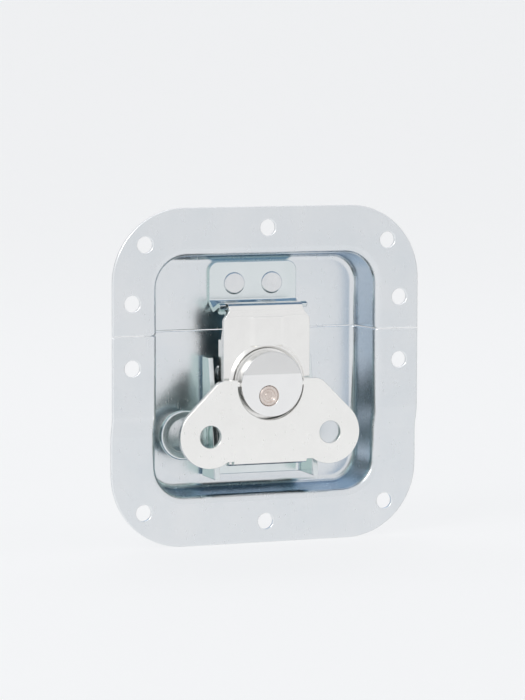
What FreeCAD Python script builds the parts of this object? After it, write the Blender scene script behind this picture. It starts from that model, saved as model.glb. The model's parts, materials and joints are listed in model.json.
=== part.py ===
"""Recessed butterfly latch for a flight case.

Two drawn sheet dishes meet on the closing line of the case. The upper dish
carries the keeper, the lower one a channel bracket with the claw, the drum
and the folding butterfly wing.

Frame: X runs to the right, Y into the case and Z up, all in millimetres. The
origin lies on the closing line, midway between the four side rivet holes, on
the back of the flange, which is the face that seats on the panel.
"""
import FreeCAD
import Part
import math
import os

V = FreeCAD.Vector

# Dishes: outline, recess and sheet
sheet = 1.2
dish_width = 105.0
top_edge = 40.5
bottom_edge = -68.4
outline_corner = 24.0
recess_depth = 14.9
flange_side_width = 14.8
flange_top_width = 15.3
flange_bottom_width = 15.8
mouth_corner = 10.5
wall_draft = 1.4
rim_bend = 1.2
floor_bend = 2.0
split_gap = 0.3
offset_step = 1.6
offset_top = -26.8
offset_run = 5.4
offset_soft = 6.0

# Rivet holes in the flange
rivet_hole = 5.3
side_hole_edge = 6.5
side_hole_pitch = 20.6
corner_hole_edge = 10.8
corner_hole_rise = 11.5
middle_hole_rise = 6.8

# Keeper on the upper dish
keeper_sheet = 1.4
keeper_bend = 0.7
keeper_top = 22.0
keeper_corner = 3.0
keeper_bend_z = 9.6
trough_z = 6.8
trough_reach = 3.4
trough_run = 2.6
crest_reach = 8.3
crest_z = 7.4
lip_run = 1.3
lip_drop = 1.0
ear_trough_z = 7.5
ear_crest_z = 9.6
ear_crest_reach = 8.8
ear_lip_run = 1.25
ear_lip_drop = 0.95
keeper_rivet_span = 13.0
keeper_rivet_z = 15.0
keeper_rivet_head = 7.2
keeper_head_height = 0.5
keeper_rivet_shank = 3.6

# Channel bracket on the lower dish
bracket_sheet = 1.6
bracket_top = -8.4
bracket_foot_gap = 5.4
wall_front_top = 7.0
wall_front_bottom = 0.3
bracket_bend = 1.2
bracket_rivet_top = -14.0
bracket_rivet_bottom = -36.0
bracket_rivet_head = 6.4
bracket_head_height = 1.3
bracket_rivet_shank = 4.0
rivet_tail_height = 1.2
eye_z = -33.2
eye_depth = 7.3
eye_outer = 16.1
eye_bore = 11.0
eye_thick = 2.2
eye_round = 0.6
eye_neck = 6.0

# Claw
claw_sheet = 1.5
claw_width = 29.6
claw_front = 0.8
claw_flange_depth = 5.0
claw_bend = 0.6
hook_step = 2.1
hook_set_back = 0.35
hook_foot_rise = 0.8
hook_foot_z = 5.6
hook_knee_z = 8.0
hook_brow_run = 1.5
hook_brow_z = 9.2
hook_top_z = 9.5
hook_reach = 5.8
hook_tip_run = 0.7
hook_tip_drop = 1.3
hook_bend = 0.7
shoulder_z = 4.2
flange_top = 1.3
claw_end = -43.2
claw_end_step = 2.0
claw_taper_z = -39.0
claw_foot_depth = 3.0
claw_end_corner = 1.5
shoulder_corner = 2.0
shoulder_rise = 3.0
hook_corner = 1.0
raised_height = 0.8
bead_width = 1.9
bead_crest = 0.3
spine_width = 11.8
spine_slope = 1.5
spine_top = 5.0
press_loss = 0.3

# Drum, cap and crank
drum_z = -16.4
drum_radius = 10.5
cap_front = 4.3
cap_thick = 1.2
cap_round = 0.35
crank_radius = 3.9
crank_angle = 17.0
crank_pin = 4.2
crank_shank = 3.0
clinch_diameter = 6.3
clinch_height = 0.6
clinch_recess = 0.65
clinch_rim_soft = 0.3
clinch_lip = 0.55
clinch_wall = 0.3
clinch_dish = 0.45
groove_radius = 1.0
groove_width = 0.42
groove_depth = 0.2
axle_diameter = 3.2
axle_head = 4.6
axle_head_height = 0.9
axle_tail = 6.1
axle_tail_height = 1.2
sleeve_diameter = 9.2
spring_rise = 0.55
spring_sheet = 0.3

# Butterfly wing
wing_front = 3.0
wing_sheet = 1.8
lobe_x = 20.6
lobe_drop = 16.4
lobe_radius = 10.3
lobe_hole = 7.2
wing_top = -14.9
wing_bottom = -41.2
wing_bottom_width = 33.0
wing_lip_bottom = -42.4
wing_lip_width = 25.0
wing_lip_back = 0.9
wing_lip_bend = 1.6
wing_lip_soft = 0.3
wing_foot_flare = 1.8
wing_foot_corner = 1.2
wing_shoulder = 4.5
wing_edge = 0.35
trunnion_length = 3.4

# Clearances
running = 0.05
rivet_fit = 0.05
slide_gap = 0.2
hook_gap = 0.3
drum_gap = 0.7
wing_gap = 0.75
bay_drop = 0.4
keeper_side_gap = 0.25
hook_side_gap = 0.35
claw_side_gap = 1.4
rivet_edge_gap = 7.8
slot_gap = 0.3
slot_corner = 1.0
clinch_gap = 0.3

# Sizes that follow from the ones above
mouth_width = dish_width - 2 * flange_side_width
mouth_top = top_edge - flange_top_width
mouth_bottom = bottom_edge + flange_bottom_width
bracket_bottom = mouth_bottom + bracket_foot_gap
side_hole_span = dish_width - 2 * side_hole_edge
corner_hole_span = dish_width - 2 * corner_hole_edge
corner_hole_top = top_edge - corner_hole_rise
corner_hole_bottom = bottom_edge + corner_hole_rise
middle_hole_top = top_edge - middle_hole_rise
middle_hole_bottom = bottom_edge + middle_hole_rise
keeper_width = claw_width + 2 * keeper_side_gap
hook_width = claw_width - 2 * hook_step
claw_end_width = claw_width - 2 * claw_end_step
bracket_width = claw_width + 2 * (claw_side_gap + bracket_sheet)
bracket_rivet_span = bracket_width - 2 * rivet_edge_gap
eye_x = -bracket_width / 2 - eye_outer / 2
lobe_z = drum_z - lobe_drop

# Levels worked out from the sizes above
flange_front = -sheet
floor_front = flange_front + recess_depth
floor_back = floor_front + sheet
far = 200.0
half_turn = 180.0
over = 1.0
near = 0.01
keeper_front = floor_front - keeper_sheet
web_front = floor_front - bracket_sheet
claw_front_y = flange_front + claw_front
claw_back_y = claw_front_y + claw_sheet
cap_front_y = flange_front - cap_front
drum_front_y = cap_front_y + cap_thick
drum_back_y = claw_front_y - slide_gap
wing_front_y = flange_front - wing_front
wing_back_y = wing_front_y + wing_sheet
hinge_y = (wing_front_y + wing_back_y) / 2
trunnion_radius = wing_sheet / 2
crank_turn = math.radians(crank_angle)
crank_x = -crank_radius * math.sin(crank_turn)
crank_drop = crank_radius * math.cos(crank_turn)
crank_z = drum_z - crank_drop
claw_travel = 2 * crank_drop
sleeve_top = claw_back_y + slide_gap + spring_rise + spring_sheet
keeper_shank = keeper_rivet_shank / 2
bracket_shank = bracket_rivet_shank / 2


def on_face(x, z, y=0.0):
    """A point of a front view: x to the right, z up, at the level y."""
    return V(x, y, z)


def on_side(y, z, x=0.0):
    """A point of a side view: y into the case, z up."""
    return V(x, y, z)


def on_plan(x, y, z=0.0):
    """A point of a plan: x to the right, y into the case."""
    return V(x, y, z)


def corner_cut(before, corner, after, radius):
    """Where a rounded corner starts, its middle and where it ends."""
    back = (before - corner).normalize()
    ahead = (after - corner).normalize()
    half = back.getAngle(ahead) / 2
    reach = radius / math.tan(half)
    middle = (back + ahead).normalize()
    start = corner + back * reach
    end = corner + ahead * reach
    top = corner + middle * (radius / math.sin(half) - radius)
    return start, top, end


def rounded_edges(points, radii, closed):
    """Straight edges and tangent arcs through the points."""
    count = len(points)
    cuts = []
    for index, corner in enumerate(points):
        is_end = not closed and index in (0, count - 1)
        if is_end or radii[index] == 0:
            cuts.append((corner, None, corner))
        else:
            before = points[index - 1]
            after = points[(index + 1) % count]
            cuts.append(corner_cut(before, corner, after, radii[index]))
    edges = []
    last = count if closed else count - 1
    for index in range(count):
        start, top, end = cuts[index]
        if top is not None:
            edges.append(Part.Arc(start, top, end).toShape())
        if index < last:
            following = cuts[(index + 1) % count][0]
            if end.distanceToPoint(following) > near / far:
                edges.append(Part.LineSegment(end, following).toShape())
    return edges


def rounded_wire(points, radii):
    """A closed outline with rounded corners."""
    if not isinstance(radii, (list, tuple)):
        radii = [radii] * len(points)
    return Part.Wire(rounded_edges(points, radii, True))


def front_prism(corners, radii, y_from, y_to):
    """An outline of the front view, given as (x, z), between two levels."""
    points = [on_face(x, z, y_from) for x, z in corners]
    face = Part.Face(rounded_wire(points, radii))
    return face.extrude(V(0, y_to - y_from, 0))


def rectangle(half_width, bottom, top):
    """Corners of an upright rectangle about the middle line."""
    return [(-half_width, bottom), (half_width, bottom), (half_width, top), (-half_width, top)]


def disc(x, z, radius, y_from, y_to):
    """A round disc or bore along Y."""
    return Part.makeCylinder(radius, y_to - y_from, on_face(x, z, y_from), V(0, 1, 0))


def turned(x, z, outline):
    """A turned piece about a line along Y, from (radius, level) points."""
    points = [V(x + radius, level, z) for radius, level in outline]
    face = Part.Face(Part.makePolygon(points + points[:1]))
    return face.revolve(on_face(x, z), V(0, 1, 0), 2 * half_turn)


def offset_path(points, distance):
    """The same path of a view, moved to its left by a distance."""
    moved = []
    count = len(points)
    for index, point in enumerate(points):
        sides = []
        if index > 0:
            sides.append((point - points[index - 1]).normalize())
        if index < count - 1:
            sides.append((points[index + 1] - point).normalize())
        normals = [left_of(side) for side in sides]
        total = normals[0]
        for normal in normals[1:]:
            total = total + normal
        total = total.normalize()
        moved.append(point + total * (distance / total.dot(normals[0])))
    return moved


def left_of(direction):
    """A quarter turn to the left, in the plane of a side view."""
    return V(0, -direction.z, direction.y)


def bent_sheet(path, thickness, inner_radius, half_width):
    """Sheet of one thickness along a path of (y, z), as wide as stated."""
    base = [on_side(y, z, -half_width) for y, z in path]
    other = offset_path(base, thickness)
    base_radii = [0.0]
    other_radii = [0.0]
    for index in range(1, len(base) - 1):
        before = base[index] - base[index - 1]
        after = base[index + 1] - base[index]
        turns_left = left_of(before).dot(after) > 0
        outer_radius = inner_radius + thickness
        base_radii.append(outer_radius if turns_left else inner_radius)
        other_radii.append(inner_radius if turns_left else outer_radius)
    base_radii.append(0.0)
    other_radii.append(0.0)
    edges = rounded_edges(base, base_radii, False)
    edges.append(Part.LineSegment(base[-1], other[-1]).toShape())
    back_edges = rounded_edges(other[::-1], other_radii[::-1], False)
    edges.extend(back_edges)
    edges.append(Part.LineSegment(other[0], base[0]).toShape())
    face = Part.Face(Part.Wire(edges))
    return face.extrude(V(2 * half_width, 0, 0))


def mirrored(shape):
    """The same shape on the other side of the middle line."""
    return shape.mirror(V(0, 0, 0), V(1, 0, 0))


def fillet_where(shape, radius, test):
    """Round the edges whose middle point passes a test."""
    edges = [edge for edge in shape.Edges if test(edge)]
    return shape.makeFillet(radius, edges)


def flange_side(level):
    """Side view of the flange surface: it steps back on the lower dish."""
    step_end = offset_top - offset_run
    corners = [
        on_side(level - far, far),
        on_side(level, far),
        on_side(level, offset_top),
        on_side(level + offset_step, step_end),
        on_side(level + offset_step, -far),
        on_side(level - far, -far),
    ]
    return rounded_wire(corners, [0, 0, offset_soft, offset_soft, 0, 0])


def dish_core(grow):
    """Everything in front of the sheet: grow moves the surface back."""
    level = flange_front + grow
    side = Part.Face(flange_side(level))
    side.translate(V(-far, 0, 0))
    slab = side.extrude(V(2 * far, 0, 0))
    wires = []
    for inset, y in ((-wall_draft, level - recess_depth), (wall_draft, level + recess_depth)):
        half = mouth_width / 2 - inset + grow
        corners = rectangle(half, mouth_bottom + inset - grow, mouth_top - inset + grow)
        points = [on_face(x, z, y) for x, z in corners]
        wires.append(rounded_wire(points, mouth_corner - inset + grow))
    punch = Part.makeLoft(wires, True, True)
    punch = fillet_where(
        punch, floor_bend + grow, lambda edge: edge.BoundBox.YMin > level + recess_depth - near
    )
    core = slab.fuse(punch)
    rim = []
    for edge in core.Edges:
        box = edge.BoundBox
        near_mouth = abs(box.XMin) < mouth_width and abs(box.XMax) < mouth_width
        on_surface = box.YMin > level - near and box.YMax < level + offset_step + near
        if near_mouth and on_surface:
            rim.append(edge)
    return core.makeFillet(rim_bend + sheet - grow, rim)


def flange_holes():
    """Centres of the ten rivet holes."""
    side = side_hole_span / 2
    rise = side_hole_pitch / 2
    corner = corner_hole_span / 2
    spots = [(0.0, middle_hole_top), (0.0, middle_hole_bottom)]
    for hand in (-1, 1):
        spots.append((hand * side, rise))
        spots.append((hand * side, -rise))
        spots.append((hand * corner, corner_hole_top))
        spots.append((hand * corner, corner_hole_bottom))
    return spots


def keeper_rivet_spots():
    """Centres of the keeper's two rivets."""
    half = keeper_rivet_span / 2
    return {"left": (-half, keeper_rivet_z), "right": (half, keeper_rivet_z)}


def bracket_rivet_spots():
    """Centres of the bracket's four rivets."""
    half = bracket_rivet_span / 2
    spots = {}
    for row, z in (("upper", bracket_rivet_top), ("lower", bracket_rivet_bottom)):
        spots[row + "_left"] = (-half, z)
        spots[row + "_right"] = (half, z)
    return spots


def make_dishes():
    """The upper and the lower dish, cut on the closing line."""
    whole = dish_core(sheet).cut(dish_core(0.0))
    outline = rectangle(dish_width / 2, bottom_edge, top_edge)
    whole = whole.common(front_prism(outline, outline_corner, -far, far))
    holes = [disc(x, z, rivet_hole / 2, -far / 2, far / 2) for x, z in flange_holes()]
    for x, z in keeper_rivet_spots().values():
        holes.append(disc(x, z, keeper_shank + rivet_fit, 0, far))
    for x, z in bracket_rivet_spots().values():
        holes.append(disc(x, z, bracket_shank + rivet_fit, 0, far))
    holes.append(disc(0, drum_z, axle_diameter / 2 + rivet_fit, 0, far))
    whole = whole.cut(holes)
    above = Part.makeBox(2 * far, 2 * far, far, V(-far, -far, split_gap / 2))
    below = Part.makeBox(2 * far, 2 * far, far, V(-far, -far, -far - split_gap / 2))
    return whole.common(above), whole.common(below)


def make_rivet(x, z, front, head, head_height, shank):
    """A rivet through the dish floor, headed in front and set behind."""
    head_radius = head / 2
    tail_radius = (head_radius + shank) / 2
    top = front - head_height
    soft = head_height / 2
    tail_end = floor_back + rivet_tail_height
    return turned(x, z, [
        (0, top),
        (head_radius - 2 * soft, top),
        (head_radius - soft / 2, top + soft / 2),
        (head_radius, top + 3 * soft / 2),
        (head_radius, front),
        (shank, front),
        (shank, floor_back),
        (tail_radius, floor_back),
        (tail_radius, (floor_back + tail_end) / 2),
        (shank, tail_end),
        (0, tail_end),
    ])


def make_keeper():
    """A plate on the floor whose foot curls forward into a trough and lip.

    The lip stands higher at its two ends, which keep the hook between them.
    """
    front = keeper_front
    half = keeper_width / 2
    path = [
        (front, keeper_top),
        (front, keeper_bend_z),
        (front - trough_reach, trough_z),
        (front - trough_reach - trough_run, trough_z),
        (front - crest_reach, crest_z),
        (front - crest_reach - lip_run, crest_z - lip_drop),
    ]
    ear_path = [
        (front, keeper_top),
        (front, keeper_bend_z),
        (front - trough_reach, ear_trough_z),
        (front - ear_crest_reach, ear_crest_z),
        (front - ear_crest_reach - ear_lip_run, ear_crest_z - ear_lip_drop),
    ]
    inside = hook_width / 2 + hook_side_gap
    middle = bent_sheet(path, keeper_sheet, keeper_bend, inside)
    ends = bent_sheet(ear_path, keeper_sheet, keeper_bend, half)
    between = Part.makeBox(2 * inside, far, 2 * far, V(-inside, -far / 2, -far))
    plate = middle.fuse(ends.cut(between)).removeSplitter()
    plate = fillet_where(plate, keeper_corner, lambda edge: is_top_corner(edge, keeper_top))
    bores = [disc(x, z, keeper_shank + rivet_fit, 0, far) for x, z in keeper_rivet_spots().values()]
    return plate.cut(bores)


def is_top_corner(edge, top):
    """An edge through the sheet at the top of a plate."""
    box = edge.BoundBox
    return box.ZMin > top - near and box.XLength < near


def make_bracket():
    """A channel with sloping walls and the padlock eye on its left wall."""
    half = bracket_width / 2
    inner = half - bracket_sheet
    length = bracket_top - bracket_bottom
    block = Part.makeBox(bracket_width, far, length, V(-half, floor_front - far, bracket_bottom))
    hollow_corner = V(-inner, web_front - far, bracket_bottom - over)
    hollow = Part.makeBox(2 * inner, far, length + 2 * over, hollow_corner)
    block = fillet_where(
        block, bracket_bend + bracket_sheet, lambda edge: is_long_edge(edge, floor_front, length)
    )
    hollow = fillet_where(
        hollow, bracket_bend, lambda edge: is_long_edge(edge, web_front, length)
    )
    channel = block.cut(hollow)
    low = flange_front + wall_front_bottom
    high = flange_front + wall_front_top
    side = [on_side(-far, bracket_bottom - over, -far), on_side(low, bracket_bottom - over, -far),
            on_side(low, bracket_bottom, -far), on_side(high, bracket_top, -far),
            on_side(high, bracket_top + over, -far), on_side(-far, bracket_top + over, -far)]
    front_cut = Part.Face(Part.makePolygon(side + side[:1])).extrude(V(2 * far, 0, 0))
    channel = channel.cut(front_cut)
    bracket = channel.fuse(make_eye()).removeSplitter()
    bores = [disc(x, z, bracket_shank + rivet_fit, 0, far) for x, z in bracket_rivet_spots().values()]
    bores.append(disc(0, drum_z, axle_diameter / 2 + rivet_fit, 0, far))
    return bracket.cut(bores)


def is_long_edge(edge, y, length):
    """An upright edge that lies at one level."""
    box = edge.BoundBox
    return abs(box.YMin - y) < near and abs(box.YMax - y) < near and box.ZLength > length - near


def make_eye():
    """The ring for a padlock, joined to the bracket's left wall."""
    front = flange_front + eye_depth
    back = front + eye_thick
    ring = disc(eye_x, eye_z, eye_outer / 2, front, back)
    ring = fillet_where(ring, eye_round, lambda edge: edge.Closed)
    start = eye_x + eye_bore / 2 + eye_round
    end = -bracket_width / 2 + bracket_sheet
    low = eye_z - eye_neck / 2
    high = eye_z + eye_neck / 2
    corners = [(start, low), (end, low), (end, high), (start, high)]
    neck = front_prism(corners, 0, front + eye_round / 2, back - eye_round / 2)
    eye = ring.fuse(neck)
    bore = disc(eye_x, eye_z, eye_bore / 2, -far, far)
    return eye.cut(bore)


def obround_ring(profile):
    """A ring of one section about the drum, drawn out by the claw's travel."""
    low_z = drum_z - claw_travel
    parts = []
    for z, start in ((drum_z, 0), (low_z, half_turn)):
        points = [V(radius, level, z) for radius, level in profile]
        face = Part.Face(Part.makePolygon(points + points[:1]))
        face.rotate(on_face(0, z), V(0, 1, 0), -start)
        parts.append(face.revolve(on_face(0, z), V(0, 1, 0), -half_turn))
    for hand in (-1, 1):
        points = [V(hand * radius, level, low_z) for radius, level in profile]
        face = Part.Face(Part.makePolygon(points + points[:1]))
        parts.append(face.extrude(V(0, 0, claw_travel)))
    return parts[0].fuse(parts[1:])


def bead_profile(inner, width, base):
    """A raised bead: its foot, its sloping sides and its narrow crest."""
    middle = inner + width / 2
    return [
        (inner, base),
        (middle - bead_crest / 2, base - raised_height),
        (middle + bead_crest / 2, base - raised_height),
        (inner + width, base),
    ]


def make_claw():
    """The pulling plate: hook, channel sides, drum collar and crank slot."""
    front = claw_front_y
    half = claw_width / 2
    hook_front = front + hook_set_back
    path = [
        (hook_front + hook_reach + hook_tip_run, hook_top_z - hook_tip_drop),
        (hook_front + hook_reach, hook_top_z),
        (hook_front + hook_brow_run, hook_brow_z),
        (hook_front, hook_knee_z),
        (hook_front, hook_foot_z + hook_foot_rise),
        (front, hook_foot_z),
        (front, claw_end),
        (front + claw_foot_depth, claw_end),
    ]
    plate = bent_sheet(path, claw_sheet, hook_bend, half)
    hook_half = hook_width / 2
    end_half = claw_end_width / 2
    right = [(end_half, -far), (end_half, claw_end + claw_end_corner), (half, claw_taper_z),
             (half, shoulder_z), (hook_half, shoulder_z + shoulder_rise), (hook_half, far)]
    left = [(-x, z) for x, z in right[::-1]]
    soft = [0, claw_end_corner, claw_end_corner, shoulder_corner, hook_corner, 0]
    plate = plate.common(front_prism(right + left, soft + soft[::-1], -far, far))
    claw = plate.fuse([claw_side(), mirrored(claw_side())])
    claw = claw.fuse(make_raised(0.0))
    claw = claw.cut(make_raised(claw_sheet))
    return claw.cut(claw_slots()).removeSplitter()


def claw_side():
    """The left side flange, bent back from the plate."""
    half = claw_width / 2
    back = claw_front_y + claw_flange_depth
    lip_front = keeper_front - crest_reach - lip_run
    reach = claw_bend + claw_sheet
    corner = on_plan(-half, claw_front_y, claw_taper_z)
    section = [
        corner + V(reach, 0, 0), corner,
        on_plan(-half, back, claw_taper_z), on_plan(-half + claw_sheet, back, claw_taper_z),
        on_plan(-half + claw_sheet, claw_back_y, claw_taper_z),
        corner + V(reach, claw_sheet, 0),
    ]
    wire = rounded_wire(section, [0, reach, 0, 0, claw_bend, 0])
    side = Part.Face(wire).extrude(V(0, 0, flange_top - claw_taper_z))
    keeper_foot = trough_z - keeper_sheet
    clear_z = keeper_foot - claw_travel - hook_gap
    relief = [
        on_side(claw_back_y, flange_top + over, -far),
        on_side(claw_back_y, flange_top, -far),
        on_side(lip_front - hook_gap, clear_z, -far),
        on_side(back + over, clear_z, -far),
        on_side(back + over, flange_top + over, -far),
    ]
    cutter = Part.Face(Part.makePolygon(relief + relief[:1])).extrude(V(2 * far, 0, 0))
    return side.cut(cutter)


def make_raised(sink):
    """The pressed collar and spine: the ridge in front or its hollow behind."""
    base = claw_front_y + sink
    shrink = press_loss if sink else 0.0
    inner = drum_radius + drum_gap + shrink
    width = bead_width - 2 * shrink
    collar = obround_ring(bead_profile(inner, width, base))
    foot = spine_width / 2 - shrink
    crest = foot - spine_slope
    low = drum_z + inner + width / 2
    section = [on_plan(-foot, base, low), on_plan(-crest, base - raised_height, low),
               on_plan(crest, base - raised_height, low), on_plan(foot, base, low)]
    face = Part.Face(Part.makePolygon(section + section[:1]))
    spine = face.extrude(V(0, 0, spine_top - shrink - low))
    return collar.fuse(spine)


def crank_stray(turn):
    """How far the crank pin stands above the claw's even travel at a turn."""
    return crank_drop - crank_radius * math.cos(turn + crank_turn) - claw_travel * turn / math.pi


def claw_slots():
    """The slot that the axle runs in and the slot that the crank pin drives."""
    strays = [crank_stray(math.radians(turn)) for turn in range(int(half_turn) + 1)]
    axle_half = axle_diameter / 2 + slot_gap
    pin = crank_pin / 2
    axle_low = drum_z - claw_travel
    axle_slot = front_prism(
        rectangle(axle_half, axle_low - axle_half, drum_z + axle_half), axle_half - near, -far, far
    )
    low = crank_z - pin + min(strays) - slot_gap
    high = crank_z + pin + max(strays) + slot_gap
    left = -crank_radius - pin - slot_gap
    right = -crank_x + pin + slot_gap
    corners = [(left, low), (right, low), (right, high), (left, high)]
    pin_slot = front_prism(corners, slot_corner, -far, far)
    return [axle_slot, pin_slot]


def make_drum():
    """The turning block under the cap, with a pocket for each trunnion."""
    drum = disc(0, drum_z, drum_radius, drum_front_y, drum_back_y)
    head_hole = axle_head / 2 + running
    head_floor = drum_front_y + axle_head_height + running
    cuts = [
        disc(0, drum_z, axle_diameter / 2 + running, -far, far),
        disc(0, drum_z, head_hole, drum_front_y - over, head_floor),
        disc(crank_x, crank_z, crank_shank / 2 + rivet_fit, -far, far),
    ]
    pocket_radius = trunnion_radius + running
    pocket_start = drum_radius - trunnion_length
    bore = Part.makeCylinder(pocket_radius, far, V(pocket_start, hinge_y, drum_z), V(1, 0, 0))
    mouth = Part.makeBox(
        far, hinge_y - drum_front_y + over, 2 * pocket_radius,
        V(pocket_start, drum_front_y - over, drum_z - pocket_radius)
    )
    pocket = bore.fuse(mouth)
    return drum.cut(cuts + [pocket, mirrored(pocket)])


def make_cap():
    """The round cap that hides the axle and traps the wing's trunnions."""
    cap = disc(0, drum_z, drum_radius, cap_front_y, drum_front_y)
    cap = fillet_where(cap, cap_round, lambda edge: edge.BoundBox.YMax < cap_front_y + near)
    seat_radius = clinch_diameter / 2
    seat = turned(crank_x, crank_z, [
        (0, cap_front_y - over),
        (seat_radius + clinch_gap, cap_front_y - over),
        (seat_radius + clinch_gap, cap_front_y),
        (seat_radius, cap_front_y + clinch_recess),
        (0, cap_front_y + clinch_recess),
    ])
    return cap.cut([seat, disc(crank_x, crank_z, crank_shank / 2 + rivet_fit, -far, far)])


def make_crank_rivet():
    """The off-centre rivet: clinched on the cap, and the claw's crank pin."""
    seat = cap_front_y + clinch_recess
    crown = seat - clinch_height
    rim = clinch_diameter / 2
    lip = rim - clinch_rim_soft - clinch_lip
    dish = crown + clinch_dish
    shank = crank_shank / 2
    pin = crank_pin / 2
    pin_end = claw_back_y - running
    groove_end = groove_radius + groove_width
    groove_side = groove_width / 3
    return turned(crank_x, crank_z, [
        (0, dish),
        (groove_radius, dish),
        (groove_radius + groove_side, dish + groove_depth),
        (groove_end - groove_side, dish + groove_depth),
        (groove_end, dish),
        (lip - clinch_wall, dish),
        (lip, crown),
        (rim - clinch_rim_soft, crown),
        (rim, crown + clinch_rim_soft),
        (rim, seat),
        (shank, seat),
        (shank, drum_back_y),
        (pin, drum_back_y),
        (pin, pin_end),
        (0, pin_end),
    ])


def make_axle():
    """The pin that the drum turns on, headed in the drum, set behind."""
    head_top = drum_front_y + running
    head_base = drum_front_y + axle_head_height
    head = axle_head / 2
    shank = axle_diameter / 2
    tail = axle_tail / 2
    tail_end = floor_back + axle_tail_height
    return turned(0, drum_z, [
        (0, head_top),
        (head, head_top),
        (head, head_base),
        (shank, head_base),
        (shank, floor_back),
        (tail, floor_back),
        (tail, (floor_back + tail_end) / 2),
        ((tail + shank) / 2, tail_end),
        (0, tail_end),
    ])


def make_sleeve():
    """The spacer on the axle between the web and the claw's spring."""
    bore = axle_diameter / 2 + rivet_fit
    return turned(0, drum_z, [
        (bore, sleeve_top), (sleeve_diameter / 2, sleeve_top),
        (sleeve_diameter / 2, web_front), (bore, web_front),
    ])


def make_spring_washer():
    """A coned spring washer that keeps the claw against the drum."""
    bore = axle_diameter / 2 + slot_gap
    rim = sleeve_diameter / 2
    crown = claw_back_y + slide_gap
    return turned(0, drum_z, [
        (bore, crown), (bore, crown + spring_sheet),
        (rim, sleeve_top), (rim, sleeve_top - spring_sheet),
    ])


def wing_outline():
    """Half of the wing's straight-edged middle, from the top to the bottom."""
    slant = lobe_radius * math.sqrt(0.5)
    tangent = (lobe_x + slant, lobe_z + slant)
    shoulder = (tangent[0] - (wing_top - tangent[1]), wing_top)
    foot_x = wing_bottom_width / 2
    exit_x = foot_x + wing_foot_flare
    exit_z = lobe_z - math.sqrt(lobe_radius ** 2 - (lobe_x - exit_x) ** 2)
    return [shoulder, tangent, (lobe_x, lobe_z), (exit_x, exit_z), (foot_x, wing_bottom)]


def make_wing_lip():
    """The bottom lip: the sheet turned back under the fingers."""
    half = wing_lip_width / 2
    top = wing_bottom + wing_sheet
    high = wing_lip_bottom + wing_sheet
    low = wing_lip_bottom
    deep = wing_back_y + wing_lip_back
    section = [on_side(wing_front_y, top, -half), on_side(wing_front_y, low, -half),
               on_side(deep, low, -half), on_side(deep, high, -half),
               on_side(wing_back_y, high, -half), on_side(wing_back_y, top, -half)]
    wire = rounded_wire(section, [0, wing_lip_bend, wing_lip_soft, wing_lip_soft, 0, 0])
    return Part.Face(wire).extrude(V(2 * half, 0, 0))


def make_wing():
    """The butterfly: two lobes, a bay for the drum and two trunnions."""
    right = wing_outline()
    left = [(-x, z) for x, z in right[::-1]]
    radii = [wing_shoulder, 0, 0, 0, wing_foot_corner]
    wing = front_prism(right + left, radii + radii[::-1], wing_front_y, wing_back_y)
    lobes = [disc(hand * lobe_x, lobe_z, lobe_radius, wing_front_y, wing_back_y) for hand in (-1, 1)]
    wing = wing.fuse(lobes).removeSplitter()
    holes = [disc(hand * lobe_x, lobe_z, lobe_hole / 2, -far, far) for hand in (-1, 1)]
    bay = disc(0, drum_z - bay_drop, drum_radius + wing_gap, -far, far)
    wing = wing.cut(holes + [bay])
    wing = fillet_where(wing, wing_edge, lambda edge: edge.BoundBox.YMax < wing_front_y + near)
    wing = wing.fuse(make_wing_lip())
    start = drum_radius - trunnion_length + running
    length = trunnion_length + wing_gap + wing_sheet
    trunnion = Part.makeCylinder(trunnion_radius, length, V(start, hinge_y, drum_z), V(1, 0, 0))
    return wing.fuse([trunnion, mirrored(trunnion)])


def build():
    """Every piece of the latch by its name."""
    upper_dish, lower_dish = make_dishes()
    pieces = {
        "upper_dish": upper_dish,
        "lower_dish": lower_dish,
        "keeper_plate": make_keeper(),
        "base_bracket": make_bracket(),
        "claw": make_claw(),
        "drum": make_drum(),
        "cap_disc": make_cap(),
        "crank_rivet": make_crank_rivet(),
        "axle_pin": make_axle(),
        "axle_sleeve": make_sleeve(),
        "claw_spring_washer": make_spring_washer(),
        "butterfly_wing": make_wing(),
    }
    for side, (x, z) in keeper_rivet_spots().items():
        pieces["keeper_rivet_" + side] = make_rivet(
            x, z, keeper_front, keeper_rivet_head, keeper_head_height, keeper_shank
        )
    for corner, (x, z) in bracket_rivet_spots().items():
        pieces["bracket_rivet_" + corner] = make_rivet(
            x, z, web_front, bracket_rivet_head, bracket_head_height, bracket_shank
        )
    return pieces


os.makedirs("parts", exist_ok=True)
for name, shape in build().items():
    shape.exportStep("parts/" + name + ".step")
    print(name, "solids", len(shape.Solids), "volume", round(shape.Volume, 1), shape.isValid())
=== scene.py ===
# %% [markdown]
# # A butterfly latch in bright plated steel
# The solids come from the CAD model. This script gives each stamped, turned and
# riveted piece its own plated finish, sets the camera where the photograph was
# taken, and lights the latch as a small studio would.

# %% Load the frame
import bpy
import json
import math
from mathutils import Matrix, Vector


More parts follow.
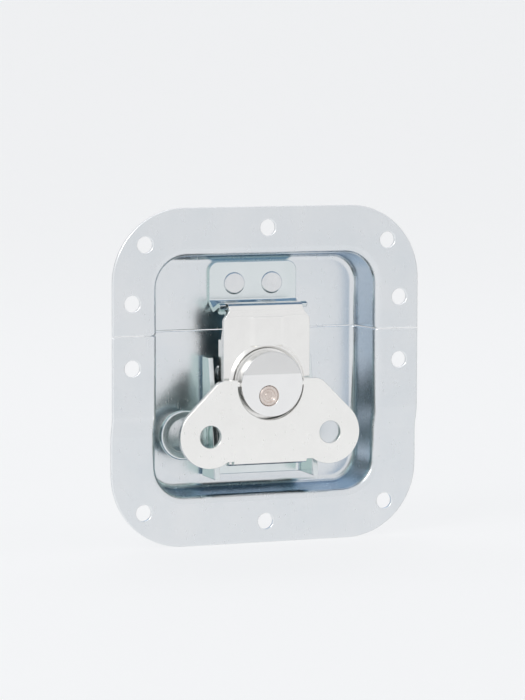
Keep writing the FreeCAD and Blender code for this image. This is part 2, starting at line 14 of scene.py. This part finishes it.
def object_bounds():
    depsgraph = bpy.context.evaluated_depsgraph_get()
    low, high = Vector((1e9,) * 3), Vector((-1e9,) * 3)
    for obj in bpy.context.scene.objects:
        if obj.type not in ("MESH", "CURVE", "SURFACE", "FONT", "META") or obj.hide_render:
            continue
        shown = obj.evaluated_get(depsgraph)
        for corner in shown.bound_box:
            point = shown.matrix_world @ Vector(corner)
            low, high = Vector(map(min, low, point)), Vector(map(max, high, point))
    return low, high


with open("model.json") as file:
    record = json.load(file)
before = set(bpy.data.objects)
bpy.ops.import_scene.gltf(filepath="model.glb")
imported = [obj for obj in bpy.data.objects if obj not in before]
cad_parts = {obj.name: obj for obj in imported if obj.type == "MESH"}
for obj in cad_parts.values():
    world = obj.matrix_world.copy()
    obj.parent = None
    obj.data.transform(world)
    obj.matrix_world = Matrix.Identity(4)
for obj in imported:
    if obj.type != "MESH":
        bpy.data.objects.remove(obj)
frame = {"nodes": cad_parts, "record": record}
cad_low, cad_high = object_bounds()
print("pieces:", sorted(frame["nodes"]))
print("CAD box, mm:", [round(v * 1000, 1) for v in (*cad_low, *cad_high)])

# %% [markdown]
# ## Camera
# A long lens from the left and a little above. The place and the focal length
# were worked out from the rivet holes, whose spacing is known, so the render and
# the photograph lie over each other.

# %% Camera
scene = bpy.context.scene
scene.view_settings.view_transform = "Standard"
CAMERA_PLACE = (-0.37113, -0.95571, 0.09312)
CAMERA_TARGET = (-0.00184, -0.0012, -0.00569)
CAMERA_ROLL = 0.12
FOCAL_LENGTH = 164.4
SENSOR_WIDTH = 36.0


def aim(place, target, roll_degrees=0.0):
    """A matrix at place whose -Z looks at target, rolled about that line."""
    back = (Vector(place) - Vector(target)).normalized()
    right = Vector((0, 0, 1)).cross(back).normalized()
    up = back.cross(right)
    turn = Matrix.Rotation(math.radians(roll_degrees), 4, "Z")
    basis = Matrix((right, up, back)).transposed().to_4x4()
    return Matrix.Translation(place) @ basis @ turn


photo_camera = bpy.data.cameras.new("photo_camera")
photo_camera.lens = FOCAL_LENGTH
photo_camera.sensor_width = SENSOR_WIDTH
photo_camera.clip_start = 0.05
photo_camera.clip_end = 20.0
camera = bpy.data.objects.new("photo_camera", photo_camera)
camera.matrix_world = aim(CAMERA_PLACE, CAMERA_TARGET, CAMERA_ROLL)
scene.collection.objects.link(camera)
scene.camera = camera
print("camera at, mm:", [round(v * 1000) for v in camera.matrix_world.translation])

# %% [markdown]
# ## Lamps
# Polished metal shows what stands round it more than it shows its own colour, so
# two gentle lamps are enough. One stands high on the left and one hangs above and
# behind. They draw the soft shadow and a few highlights. What the metal shows
# besides is the pale floor and backdrop further down.

# %% Lamps
LATCH_MIDDLE = (0.0, 0.0, -0.014)


def area_light(name, place, size, power, colour):
    """A soft rectangular light that faces the latch; its power is in watts."""
    lamp = bpy.data.lights.new(name, "AREA")
    lamp.shape = "RECTANGLE"
    lamp.size, lamp.size_y = size
    lamp.energy = power
    lamp.color = colour
    lamp_object = bpy.data.objects.new(name, lamp)
    lamp_object.matrix_world = aim(place, LATCH_MIDDLE)
    scene.collection.objects.link(lamp_object)


area_light("soft_box_left", (-0.85, -0.50, 0.75), (0.6, 0.6), 4.0, (1.0, 0.99, 0.97))
area_light("top_strip", (0.10, 0.62, 0.95), (1.2, 0.3), 2.5, (1.0, 1.0, 1.0))

# %% [markdown]
# ## Floor
# A packshot table is one sheet that lies flat under the object and curves up
# behind it, so that no corner shows. A bevelled plane or an extruded curve would
# do. Here its side profile is worked out point by point and drawn out to both
# sides, which is short, and smooth shading hides the flat steps of the curve.

# %% Floor
FLOOR_LEVEL = cad_low.z
FLOOR_FRONT = -3.0
CURVE_START = 1.5
CURVE_RADIUS = 0.9
CURVE_STEPS = 16
WALL_TOP = 3.2
FLOOR_HALF_WIDTH = 4.0


def sweep_profile():
    """The sheet from the side: flat, then curved up into a wall."""
    points = [(FLOOR_FRONT, FLOOR_LEVEL), (0.0, FLOOR_LEVEL)]
    for step in range(CURVE_STEPS + 1):
        angle = math.radians(90 * step / CURVE_STEPS)
        away = CURVE_START + CURVE_RADIUS * math.sin(angle)
        points.append((away, FLOOR_LEVEL + CURVE_RADIUS * (1 - math.cos(angle))))
    points.append((CURVE_START + CURVE_RADIUS, WALL_TOP))
    return points


profile = sweep_profile()
corners = [(side * FLOOR_HALF_WIDTH, y, z) for y, z in profile for side in (-1, 1)]
faces = [(2 * i, 2 * i + 1, 2 * i + 3, 2 * i + 2) for i in range(len(profile) - 1)]
mesh = bpy.data.meshes.new("floor")
mesh.from_pydata(corners, [], faces)
mesh.shade_smooth()
floor = bpy.data.objects.new("floor", mesh)
scene.collection.objects.link(floor)
print("floor faces:", len(mesh.polygons))

# %% [markdown]
# ### Floor paint
# A pale floor would need strong lamps to look white, and they would bleach the
# metal. So the paint glows a little, but only for rays that look at it: those of
# the camera, those that the metal mirrors and those that pass through glass. The
# soft light that spreads between dull surfaces never meets the glow, and the part
# of the paint that doesn't glow keeps the latch's shadow.

# %% Floor paint
FLOOR_GLOW = 0.78


def add(tree, kind, **settings):
    """A node with its settings; a setting named in_NAME fills that input."""
    node = tree.nodes.new("ShaderNode" + kind)
    for key, value in settings.items():
        if key.startswith("in_"):
            label = key[3:]
            node.inputs[int(label) if label.isdigit() else label].default_value = value
        else:
            setattr(node, key, value)
    return node


def looking_rays(tree):
    """1 for rays that look at the background: seen, mirrored or through glass."""
    paths = add(tree, "LightPath")
    looking = paths.outputs["Is Camera Ray"]
    for ray in ("Is Glossy Ray", "Is Transmission Ray"):
        either = add(tree, "Math", operation="MAXIMUM")
        tree.links.new(looking, either.inputs[0])
        tree.links.new(paths.outputs[ray], either.inputs[1])
        looking = either.outputs[0]
    return looking


floor_paint = bpy.data.materials.new("floor_paint")
floor_paint.use_nodes = True
paint_tree = floor_paint.node_tree
paint = paint_tree.nodes["Principled BSDF"]
paint.inputs["Base Color"].default_value = (0.80, 0.81, 0.82, 1.0)
paint.inputs["Roughness"].default_value = 0.6
glow = add(paint_tree, "Emission", in_Color=(0.985, 0.99, 1.0, 1.0))
share = add(paint_tree, "Math", operation="MULTIPLY", in_1=FLOOR_GLOW)
lit = add(paint_tree, "MixShader")
paint_tree.links.new(looking_rays(paint_tree), share.inputs[0])
paint_tree.links.new(share.outputs[0], lit.inputs["Fac"])
paint_tree.links.new(paint.outputs[0], lit.inputs[1])
paint_tree.links.new(glow.outputs[0], lit.inputs[2])
paint_tree.links.new(lit.outputs[0], paint_tree.nodes["Material Output"].inputs["Surface"])
mesh.materials.append(floor_paint)
print("floor paint nodes:", len(paint_tree.nodes))

# %% [markdown]
# ## The room that lights the metal
# A room gives the metal a little soft light that differs from side to side. It is
# painted on the world instead of being built. Two numbers say where a
# ray points: its height, from -1 straight down to 1 straight up, and its bearing
# in radians, 0 towards the front and growing to the right. A card is painted
# where soft steps on both of them overlap.

# %% Room helpers
CARD_FADE = (-0.06, -0.15)
world = bpy.data.worlds.new("studio")
world.use_nodes = True
scene.world = world
room_tree = world.node_tree
room_tree.nodes.clear()


def world_math(operation, *values):
    """One step of arithmetic on sockets or plain numbers."""
    node = add(room_tree, "Math", operation=operation)
    for socket, value in zip(node.inputs, values):
        if isinstance(value, (int, float)):
            socket.default_value = value
        else:
            room_tree.links.new(value, socket)
    return node.outputs[0]


def soft_step(value, start, end):
    """0 before the start and 1 after the end, or the other way round."""
    node = add(room_tree, "MapRange", interpolation_type="SMOOTHSTEP")
    node.inputs["From Min"].default_value = min(start, end)
    node.inputs["From Max"].default_value = max(start, end)
    node.inputs["To Min"].default_value = 0.0 if start < end else 1.0
    node.inputs["To Max"].default_value = 1.0 if start < end else 0.0
    room_tree.links.new(value, node.inputs["Value"])
    return node.outputs["Result"]


def put_card(room_colour, upper, lower, sides, heights, soft):
    """Mix an upright card into the room; its colour changes from top to bottom."""
    edges = (
        soft_step(bearing, sides[0], sides[0] + soft),
        soft_step(bearing, sides[1], sides[1] - soft),
        soft_step(height, heights[0], heights[0] + soft / 2),
        soft_step(height, heights[1], heights[1] - soft / 2),
    )
    mask = edges[0]
    for edge in edges[1:]:
        mask = world_math("MULTIPLY", mask, edge)
    fade = add(room_tree, "Mix", data_type="RGBA")
    fade.inputs["A"].default_value = (*upper, 1.0)
    fade.inputs["B"].default_value = (*lower, 1.0)
    room_tree.links.new(soft_step(height, *CARD_FADE), fade.inputs["Factor"])
    mix = add(room_tree, "Mix", data_type="RGBA")
    room_tree.links.new(mask, mix.inputs["Factor"])
    room_tree.links.new(room_colour, mix.inputs["A"])
    room_tree.links.new(fade.outputs["Result"], mix.inputs["B"])
    return mix.outputs["Result"]


coords = add(room_tree, "TexCoord")
split = add(room_tree, "SeparateXYZ")
room_tree.links.new(coords.outputs["Generated"], split.inputs[0])
height = split.outputs["Z"]
forward = world_math("MULTIPLY", split.outputs["Y"], -1.0)
bearing = world_math("ARCTAN2", split.outputs["X"], forward)
print("room nodes so far:", len(room_tree.nodes))

# %% [markdown]
# ### Walls of the room
# Height alone sets them: a pale table below, a dark room at eye level and a dull
# blue above.

# %% Walls of the room
ramp = add(room_tree, "ValToRGB")
levels = [
    (-1.0, (0.04, 0.10, 0.17)),
    (-0.92, (0.10, 0.19, 0.27)),
    (-0.76, (0.88, 0.92, 0.94)),
    (-0.30, (0.90, 0.94, 0.95)),
    (-0.17, (0.50, 0.56, 0.60)),
    (-0.12, (0.05, 0.12, 0.17)),
    (0.0, (0.03, 0.08, 0.12)),
    (0.18, (0.01, 0.045, 0.085)),
    (0.45, (0.01, 0.045, 0.085)),
    (1.0, (0.08, 0.15, 0.22)),
]
for index, (level, colour) in enumerate(levels):
    place = 0.5 + 0.5 * level
    stop = ramp.color_ramp.elements[index] if index < 2 else ramp.color_ramp.elements.new(place)
    stop.position = place
    stop.color = (*colour, 1.0)
room_tree.links.new(world_math("MULTIPLY_ADD", height, 0.5, 0.5), ramp.inputs["Fac"])
print("levels of the room:", len(ramp.color_ramp.elements))

# %% [markdown]
# ### Cards
# A wide bright card stands on the right, with whiter ones over both its sides, and
# a bank hangs overhead. A dimmer card stands far on the left, and a grey screen
# lies low in front. Two cool ones stand behind, for the latch's back.

# %% Cards
WHITE, BRIGHT = (1.25, 1.25, 1.25), (0.90, 0.895, 0.895)
COOL, DIM, SHADE = (0.90, 0.96, 0.985), (0.84, 0.87, 0.89), (0.34, 0.43, 0.50)
# Each card: colour above, colour below, bearings, heights, softness of its edges.
cards = [
    (BRIGHT, COOL, (0.06, 1.62), (-0.55, 0.08), 0.12),
    (WHITE, WHITE, (0.72, 1.60), (-0.35, 0.42), 0.16),
    (SHADE, SHADE, (-0.50, 0.07), (-0.90, -0.20), 0.10),
    (WHITE, WHITE, (0.02, 0.27), (-0.35, 0.09), 0.08),
    (DIM, DIM, (-1.35, -0.50), (-0.55, 0.12), 0.09),
    (WHITE, WHITE, (-1.0, 1.7), (0.58, 0.95), 0.08),
    (COOL, COOL, (1.75, 3.60), (-0.50, 0.35), 0.20),
    (COOL, COOL, (-3.60, -1.75), (-0.50, 0.35), 0.20),
]
room_colour = ramp.outputs["Color"]
for card in cards:
    room_colour = put_card(room_colour, *card)
print("cards:", len(cards))

# %% [markdown]
# ### Pale backdrop
# Past the floor's edges the camera would look into the dark room. A plain pale
# backdrop takes its place there, and the metal mirrors it too. The painted room
# stays as a faint lamp: it adds a little light without being looked at.

# %% Pale backdrop
BACKDROP_COLOUR = (0.84, 0.85, 0.865, 1.0)
room = add(room_tree, "Background")
backdrop = add(room_tree, "Background", in_Color=BACKDROP_COLOUR)
chooser = add(room_tree, "MixShader")
output = add(room_tree, "OutputWorld")
room_tree.links.new(room_colour, room.inputs["Color"])
room_tree.links.new(looking_rays(room_tree), chooser.inputs["Fac"])
room_tree.links.new(room.outputs[0], chooser.inputs[1])
room_tree.links.new(backdrop.outputs[0], chooser.inputs[2])
room_tree.links.new(chooser.outputs[0], output.inputs["Surface"])
print("room nodes in all:", len(room_tree.nodes))

# %% [markdown]
# ## Shared effects
# Four small node groups do the work that every plated surface needs. They give
# back masks or a normal, and the shader itself stays in each material.

# %% Node group helpers


def new_group(name, inputs, outputs):
    """A shader group with named float or vector sockets."""
    group = bpy.data.node_groups.new(name, "ShaderNodeTree")
    kinds = {"value": "NodeSocketFloat", "vector": "NodeSocketVector"}
    for label, kind, default in inputs:
        socket = group.interface.new_socket(label, in_out="INPUT", socket_type=kinds[kind])
        if default is not None:
            socket.default_value = default
    for label, kind in outputs:
        group.interface.new_socket(label, in_out="OUTPUT", socket_type=kinds[kind])
    return group, group.nodes.new("NodeGroupInput"), group.nodes.new("NodeGroupOutput")


def remap(tree, source, low, high, to_low=0.0, to_high=1.0):
    """A value moved from one range to another, held inside it."""
    node = add(tree, "MapRange", clamp=True)
    node.inputs["From Min"].default_value = low
    node.inputs["From Max"].default_value = high
    node.inputs["To Min"].default_value = to_low
    node.inputs["To Max"].default_value = to_high
    tree.links.new(source, node.inputs["Value"])
    return node.outputs["Result"]


print("helpers: new_group, remap")

# %% [markdown]
# ### Plating bloom
# Bright zinc and nickel are never even. Large soft clouds a centimetre across
# shift the tint, and a finer spangle changes how sharp the reflection is.

# %% Plating bloom group
NOISE_MIDDLE = (0.30, 0.70)
bloom, bloom_in, bloom_out = new_group(
    "plating_bloom",
    [("Place", "vector", None), ("Cloud size", "value", 18.0), ("Spangle size", "value", 2.2)],
    [("Cloud", "value"), ("Spangle", "value")],
)
for label, size_label, detail in (("Cloud", "Cloud size", 3.0), ("Spangle", "Spangle size", 2.0)):
    pitch = add(bloom, "Math", operation="DIVIDE", in_0=1.0)
    noise = add(bloom, "TexNoise", in_Detail=detail, in_Roughness=0.55)
    bloom.links.new(bloom_in.outputs[size_label], pitch.inputs[1])
    bloom.links.new(bloom_in.outputs["Place"], noise.inputs["Vector"])
    bloom.links.new(pitch.outputs[0], noise.inputs["Scale"])
    bloom.links.new(remap(bloom, noise.outputs["Fac"], *NOISE_MIDDLE), bloom_out.inputs[label])
print("group:", bloom.name, [s.name for s in bloom.interface.items_tree])

# %% [markdown]
# ### Rolled grain
# Cold-rolled sheet keeps a very faint grain along the way it was rolled. Two
# noises, drawn out upright and then a little aslant, stand for it.

# %% Rolled grain group
GRAIN_MIDDLE = (0.12, 0.40)
grain, grain_in, grain_out = new_group(
    "rolled_grain",
    [("Place", "vector", None), ("Amount", "value", 0.5)],
    [("Grain", "value")],
)
grain_noises = []
# Each noise: its lean in degrees, then its waves per millimetre across and along.
for lean, across, along in ((0.0, 1.4, 0.05), (6.0, 3.2, 0.16)):
    mapping = add(grain, "Mapping")
    mapping.inputs["Rotation"].default_value = (0.0, math.radians(lean), 0.0)
    mapping.inputs["Scale"].default_value = (across, across, along)
    noise = add(grain, "TexNoise", in_Scale=1.0, in_Detail=1.0)
    grain.links.new(grain_in.outputs["Place"], mapping.inputs["Vector"])
    grain.links.new(mapping.outputs[0], noise.inputs["Vector"])
    grain_noises.append(noise.outputs["Fac"])
both = add(grain, "Math", operation="MULTIPLY")
strength = add(grain, "Math", operation="MULTIPLY")
grain.links.new(grain_noises[0], both.inputs[0])
grain.links.new(grain_noises[1], both.inputs[1])
grain.links.new(remap(grain, both.outputs[0], *GRAIN_MIDDLE), strength.inputs[0])
grain.links.new(grain_in.outputs["Amount"], strength.inputs[1])
grain.links.new(strength.outputs[0], grain_out.inputs["Grain"])
print("group:", grain.name, [s.name for s in grain.interface.items_tree])

# %% [markdown]
# ### Edge wear and painted highlight
# Sheared edges and bends are lighter in colour: partly from rubbed, thinner
# plating and partly a painted highlight where rims catch the light. The mask
# compares the true normal with one rounded over a small radius.

# %% Edge wear and painted highlight group
EDGE_TURN = (0.99, 0.80)
edge_wear_and_highlight, edge_in, edge_out = new_group(
    "edge_wear_and_highlight",
    [("Width", "value", 0.00035)],
    [("Edge", "value"), ("Normal", "vector")],
)
soften = add(edge_wear_and_highlight, "Bevel", samples=8)
geometry = add(edge_wear_and_highlight, "NewGeometry")
compare = add(edge_wear_and_highlight, "VectorMath", operation="DOT_PRODUCT")
edge_wear_and_highlight.links.new(edge_in.outputs["Width"], soften.inputs["Radius"])
edge_wear_and_highlight.links.new(soften.outputs["Normal"], compare.inputs[0])
edge_wear_and_highlight.links.new(geometry.outputs["Normal"], compare.inputs[1])
edge_wear_and_highlight.links.new(remap(edge_wear_and_highlight, compare.outputs["Value"], *EDGE_TURN), edge_out.inputs["Edge"])
edge_wear_and_highlight.links.new(soften.outputs["Normal"], edge_out.inputs["Normal"])
print("group:", edge_wear_and_highlight.name, [s.name for s in edge_wear_and_highlight.interface.items_tree])

# %% [markdown]
# ### Painted shade on walls and backs
# The walls of the well and the hidden backs carry painted shade: their colour
# is darkened and tinted where the light they reflect falls dark. Two masks,
# taken from the way a face looks in its own piece, find the walls of the well
# and the backs. Outside says how much of the painted shade also lies on walls
# that face away from the well. Sides is the least share of it that any wall
# carries: the left and right ones get no more.

# %% Painted shade group
WALL_LEAN = (0.55, 0.20)
SUNK_DEPTH = (0.0002, 0.0012)
INWARD_TURN = (-0.002, 0.002)
BACK_TURN = (0.30, 0.70)
film, painted_shade_in, painted_shade_out = new_group(
    "thin_film",
    [("Outside", "value", 0.0), ("Sides", "value", 1.0)],
    [("Wall", "value"), ("Back", "value")],
)
facing = add(film, "TexCoord")
axes = add(film, "SeparateXYZ")
film.links.new(facing.outputs["Normal"], axes.inputs[0])

# A wall hardly looks to the front, and it lies behind the flange's face.
depth = add(film, "SeparateXYZ")
frontal = add(film, "Math", operation="ABSOLUTE")
sunk = add(film, "Math", operation="MULTIPLY")
film.links.new(facing.outputs["Object"], depth.inputs[0])
film.links.new(axes.outputs["Y"], frontal.inputs[0])
film.links.new(remap(film, frontal.outputs[0], *WALL_LEAN), sunk.inputs[0])
film.links.new(remap(film, depth.outputs["Y"], *SUNK_DEPTH), sunk.inputs[1])

# A wall of the well looks towards the middle of the latch.
well_centre = (cad_low + cad_high) / 2
inward = add(film, "VectorMath", operation="SUBTRACT", in_0=well_centre)
towards = add(film, "VectorMath", operation="DOT_PRODUCT")
allowed = add(film, "Math", operation="MAXIMUM")
walls = add(film, "Math", operation="MULTIPLY")
film.links.new(facing.outputs["Object"], inward.inputs[1])
film.links.new(inward.outputs[0], towards.inputs[0])
film.links.new(facing.outputs["Normal"], towards.inputs[1])
film.links.new(remap(film, towards.outputs["Value"], *INWARD_TURN), allowed.inputs[0])
film.links.new(painted_shade_in.outputs["Outside"], allowed.inputs[1])
film.links.new(sunk.outputs[0], walls.inputs[0])
film.links.new(allowed.outputs[0], walls.inputs[1])

# The upper and lower walls look up or down, and carry the whole painted shade.
upright = add(film, "Math", operation="ABSOLUTE")
carried = add(film, "Math", operation="MAXIMUM")
deeper = add(film, "Math", operation="MULTIPLY")
film.links.new(axes.outputs["Z"], upright.inputs[0])
film.links.new(upright.outputs[0], carried.inputs[0])
film.links.new(painted_shade_in.outputs["Sides"], carried.inputs[1])
film.links.new(walls.outputs[0], deeper.inputs[0])
film.links.new(carried.outputs[0], deeper.inputs[1])
film.links.new(deeper.outputs[0], painted_shade_out.inputs["Wall"])
film.links.new(remap(film, axes.outputs["Y"], *BACK_TURN), painted_shade_out.inputs["Back"])
print("group:", film.name, [s.name for s in film.interface.items_tree])

# %% [markdown]
# ## Plated finishes
# Every finish is the same recipe with its own numbers: two tints that the cloud
# mixes, a roughness that spangle and grain push up and down, and a very shallow
# orange-peel bump from rolling and plating.

# %% Plated metal recipe
GLOSS_SWING = 0.02
GRAIN_DULLING = 0.05
PEEL_STRENGTH = 0.03
PEEL_HEIGHT = 0.00002


def use_group(tree, group):
    """A node that runs a shared group."""
    node = tree.nodes.new("ShaderNodeGroup")
    node.node_tree = group
    return node


def plated_metal(name, tints, roughness, cloud=18.0, spangle=2.2, rolled=0.5, edge=0.0003):
    """A plated finish: three linear tints, cloud and spangle in mm, edge in metres."""
    tint, other_tint, edge_tint = tints
    material = bpy.data.materials.new(name)
    material.use_nodes = True
    tree = material.node_tree
    shader = tree.nodes["Principled BSDF"]
    shader.inputs["Metallic"].default_value = 1.0
    place = add(tree, "TexCoord")
    millimetres = add(tree, "VectorMath", operation="SCALE")
    millimetres.inputs["Scale"].default_value = 1000.0
    tree.links.new(place.outputs["Object"], millimetres.inputs[0])
    blooms = use_group(tree, bloom)
    blooms.inputs["Cloud size"].default_value = cloud
    blooms.inputs["Spangle size"].default_value = spangle
    streaks = use_group(tree, grain)
    streaks.inputs["Amount"].default_value = rolled
    wear_and_highlight = use_group(tree, edge_wear_and_highlight)
    wear_and_highlight.inputs["Width"].default_value = edge
    tree.links.new(millimetres.outputs[0], blooms.inputs["Place"])
    tree.links.new(millimetres.outputs[0], streaks.inputs["Place"])
    clouded = add(tree, "Mix", data_type="RGBA")
    clouded.inputs["A"].default_value = (*tint, 1.0)
    clouded.inputs["B"].default_value = (*other_tint, 1.0)
    tree.links.new(blooms.outputs["Cloud"], clouded.inputs["Factor"])
    # Edge colour: partly rubbed plating, partly a painted highlight on rims and bends.
    worn_and_highlit = add(tree, "Mix", data_type="RGBA")
    worn_and_highlit.inputs["B"].default_value = (*edge_tint, 1.0)
    tree.links.new(wear_and_highlight.outputs["Edge"], worn_and_highlit.inputs["Factor"])
    tree.links.new(clouded.outputs["Result"], worn_and_highlit.inputs["A"])
    tree.links.new(worn_and_highlit.outputs["Result"], shader.inputs["Base Color"])
    sharpest, dullest = roughness - GLOSS_SWING, roughness + GLOSS_SWING
    gloss = remap(tree, blooms.outputs["Spangle"], 0.0, 1.0, sharpest, dullest)
    streaked = add(tree, "Math", operation="MULTIPLY_ADD", in_1=GRAIN_DULLING)
    tree.links.new(streaks.outputs["Grain"], streaked.inputs[0])
    tree.links.new(gloss, streaked.inputs[2])
    tree.links.new(streaked.outputs[0], shader.inputs["Roughness"])
    relief = add(tree, "Bump", in_Strength=PEEL_STRENGTH, in_Distance=PEEL_HEIGHT)
    tree.links.new(blooms.outputs["Spangle"], relief.inputs["Height"])
    tree.links.new(wear_and_highlight.outputs["Normal"], relief.inputs["Normal"])
    tree.links.new(relief.outputs["Normal"], shader.inputs["Normal"])
    return material


print("recipe: roughness moves by", GLOSS_SWING, "and the peel is", PEEL_HEIGHT * 1000, "mm high")

# %% [markdown]
# ### Finishes by name
# The dishes and the bracket are blue zinc, and the claw, wing and cap are warmer
# and brighter nickel. The crank rivet is coppery. Each row gives the two tints of
# the plating, the tint of its rubbed edges with their painted highlight, the
# roughness, and whatever differs from the usual numbers of the recipe.

# %% Finishes by name
recipes = [
    ("zinc_dish", ((0.77, 0.80, 0.825), (0.82, 0.835, 0.85), (0.95, 0.97, 0.98)), 0.24, {"edge": 0.0008}),
    ("zinc_bracket", ((0.75, 0.80, 0.805), (0.80, 0.835, 0.845), (0.92, 0.94, 0.94)), 0.22, {"cloud": 9.0}),
    ("nickel_claw", ((0.90, 0.885, 0.865), (0.94, 0.93, 0.905), (0.97, 0.97, 0.95)), 0.20, {"cloud": 11.0}),
    ("nickel_wing", ((0.935, 0.925, 0.90), (0.965, 0.955, 0.93), (0.99, 0.99, 0.98)), 0.24, {"cloud": 12.0}),
    ("nickel_cap", ((0.90, 0.895, 0.89), (0.93, 0.925, 0.915), (0.97, 0.97, 0.96)), 0.15,
     {"cloud": 8.0, "rolled": 0.2}),
    ("rivet_steel", ((0.76, 0.77, 0.785), (0.82, 0.825, 0.83), (0.92, 0.93, 0.94)), 0.24, {"cloud": 3.0}),
    ("crank_copper", ((0.70, 0.60, 0.55), (0.80, 0.72, 0.67), (0.88, 0.83, 0.78)), 0.26,
     {"cloud": 2.5, "spangle": 0.8}),
    ("drum_steel", ((0.82, 0.82, 0.82), (0.88, 0.88, 0.87), (0.92, 0.92, 0.92)), 0.22, {"cloud": 5.0}),
    ("spring_steel", ((0.30, 0.31, 0.33), (0.36, 0.37, 0.39), (0.6, 0.6, 0.6)), 0.28, {"cloud": 4.0}),
]
finishes = {}
for name, tints, roughness, extras in recipes:
    finishes[name] = plated_metal(name, tints, roughness, **extras)
print("finishes:", sorted(finishes))

# %% [markdown]
# ### Cap and painted shade
# The cap's face is painted darker above a level line across it, a painted
# reflection of how its tilt reflects darker there, and a mask on height gives
# that. The painted shade goes where the last group finds walls and backs. Both
# multiply the colour of a finish, so they sit on top of its clouds and its
# rubbed, highlit edges.

# %% Cap and painted shade
CAP_REFLECTION_LINE = -0.0132
CAP_PAINTED_SHARE = 0.83
LINE_BLUR = 0.0002
PLAIN = (1.0, 1.0, 1.0)


def tint_by(material, mask, tint):
    """Multiply the colour of a finish by a tint where the mask is 1."""
    tree = material.node_tree
    shader = tree.nodes["Principled BSDF"]
    before = shader.inputs["Base Color"].links[0].from_socket
    mix = add(tree, "Mix", data_type="RGBA", blend_type="MULTIPLY")
    mix.inputs["B"].default_value = (*tint, 1.0)
    tree.links.new(mask, mix.inputs["Factor"])
    tree.links.new(before, mix.inputs["A"])
    tree.links.new(mix.outputs["Result"], shader.inputs["Base Color"])


def paint_shade_on_walls_and_backs(material, wall, back, outside=0.0, sides=1.0):
    """Paint shade into the colour of a finish on its drawn walls and backs."""
    masks = use_group(material.node_tree, film)
    masks.inputs["Outside"].default_value = outside
    masks.inputs["Sides"].default_value = sides
    tint_by(material, masks.outputs["Wall"], wall)
    tint_by(material, masks.outputs["Back"], back)


def paint_darker_above(material, level, share):
    """Paint shade into a finish above one height, to a share of its brightness."""
    tree = material.node_tree
    place = add(tree, "TexCoord")
    parts = add(tree, "SeparateXYZ")
    tree.links.new(place.outputs["Object"], parts.inputs[0])
    mask = remap(tree, parts.outputs["Z"], level - LINE_BLUR, level + LINE_BLUR)
    tint_by(material, mask, (share, share, share))


# Painted reflection: the cap's face is darker above a level line.
paint_darker_above(finishes["nickel_cap"], CAP_REFLECTION_LINE, CAP_PAINTED_SHARE)
# Each painted shade: the finish, its tint on walls, its tint on backs, and where it lies.
painted_shades = [
    ("zinc_dish", (0.32, 0.52, 0.74), PLAIN, {"sides": 0.45}),
    ("zinc_bracket", (0.78, 0.91, 0.87), (0.45, 0.60, 0.66), {"outside": 1.0}),
    ("nickel_claw", PLAIN, (0.34, 0.54, 0.61), {}),
    ("nickel_wing", PLAIN, (0.90, 0.98, 1.0), {}),
]
# Painted shade: walls of the well and hidden backs are darkened in colour.
for name, wall, back, where in painted_shades:
    paint_shade_on_walls_and_backs(finishes[name], wall, back, **where)
print("film on:", [row[0] for row in painted_shades])

# %% [markdown]
# ## Finishes on the pieces
# The record says which finish each CAD piece takes. Only the material of a piece
# is set: its shape and place stay as the CAD model gives them.

# %% Finishes on the pieces
slot_of = {entry["node"]: entry["material_slot"] for entry in frame["record"]["subparts"]}
for name, node in frame["nodes"].items():
    node.data.materials.clear()
    node.data.materials.append(finishes[slot_of[name]])
print("pieces and finishes:", {name: slot_of[name] for name in sorted(slot_of)})
